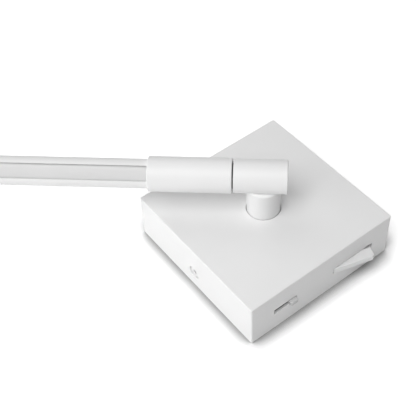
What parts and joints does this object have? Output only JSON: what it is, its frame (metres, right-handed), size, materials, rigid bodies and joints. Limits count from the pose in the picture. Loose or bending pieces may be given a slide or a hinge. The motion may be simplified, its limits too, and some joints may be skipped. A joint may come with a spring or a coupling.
{
  "type": "swing-arm wall light",
  "caption": "White wall light with a square base, a rocker and a slide switch in its side, a short swivelling post and a round light bar that rolls in a sleeve.",
  "frame": {"origin": "centre of the wall plate's back face, which lies on the wall", "axes": "+Z out of the wall into the room, -Y out of the side with the switches (usually the underside on a wall), -X out of the side with the pictured cover screw"},
  "size_m": [0.3542, 0.328, 0.0647],
  "materials": {
    "cover_coat": "satin",
    "arm_coat": "satin",
    "opal_acrylic": "satin",
    "switch_white": "satin",
    "nub_grey": "satin",
    "screw_coat": "satin",
    "zinc_steel": "satin",
    "black_steel": "satin",
    "spring_steel": "satin",
    "brass": "satin",
    "bearing_plastic": "satin",
    "friction_fibre": "matte",
    "grommet_rubber": "matte",
    "driver_case": "matte",
    "nylon_white": "matte",
    "switch_black": "matte",
    "board_green": "satin",
    "led_board_white": "satin",
    "led_phosphor": "satin",
    "wire_brown": "satin",
    "wire_blue": "satin",
    "lead_grey": "satin"
  },
  "bodies": {
    "base": {"wall_plate": "zinc_steel", "base_housing": "cover_coat", "cover_screws": "screw_coat", "cable_grommet": "grommet_rubber", "terminal_block": "nylon_white", "terminal_screws": "zinc_steel", "earth_screw": "brass", "led_driver": "driver_case", "driver_screws": "zinc_steel", "control_board": "board_green", "board_screws": "zinc_steel", "board_parts": "switch_black", "rocker_frame": "switch_black", "rocker_pin": "zinc_steel", "switch_block": "switch_black", "slide_case": "switch_black", "swivel_bush": "bearing_plastic", "friction_washer": "friction_fibre", "stop_pin": "zinc_steel", "mains_wires": "wire_brown", "switch_wires": "wire_blue", "driver_lead": "lead_grey"},
    "post": {"swivel_tee": "arm_coat", "knuckle_plug": "arm_coat", "stop_washer": "zinc_steel", "disc_spring": "spring_steel", "retaining_nut": "zinc_steel", "roll_spindle": "black_steel", "roll_stop_washer": "zinc_steel", "roll_spring": "spring_steel", "roll_nut": "zinc_steel", "post_lead": "lead_grey"},
    "arm": {"arm_sleeve": "arm_coat", "roll_bush": "bearing_plastic", "bar_set_screw": "screw_coat", "light_bar": "arm_coat", "led_board": "led_board_white", "led_chips": "led_phosphor", "diffuser": "opal_acrylic", "bar_lead": "lead_grey", "bar_end_cap": "arm_coat", "end_cap_screw": "screw_coat"},
    "rocker": {"rocker_paddle": "switch_white"},
    "slider": {"slide_knob": "nub_grey", "slide_wiper": "brass"}
  },
  "joints": [
    {"name": "base_swivel", "type": "hinge", "parent": "base", "child": "post", "pos_m": [0, 0, 0.03], "axis": [0, 0, 1], "range_deg": [-216.4, 119.6]},
    {"name": "arm_roll", "type": "hinge", "parent": "post", "child": "arm", "pos_m": [0, 0, 0.055], "axis": [-0.7478, 0.6639, 0], "range_deg": [-120, 200]},
    {"name": "rocker_tilt", "type": "hinge", "parent": "base", "child": "rocker", "pos_m": [0.0224, -0.046, 0.0146], "axis": [0, 0, 1], "range_deg": [0, 33]},
    {"name": "slide_switch", "type": "slide", "parent": "base", "child": "slider", "axis": [1, 0, 0], "range_m": [-0.0099, 0]}
  ]
}
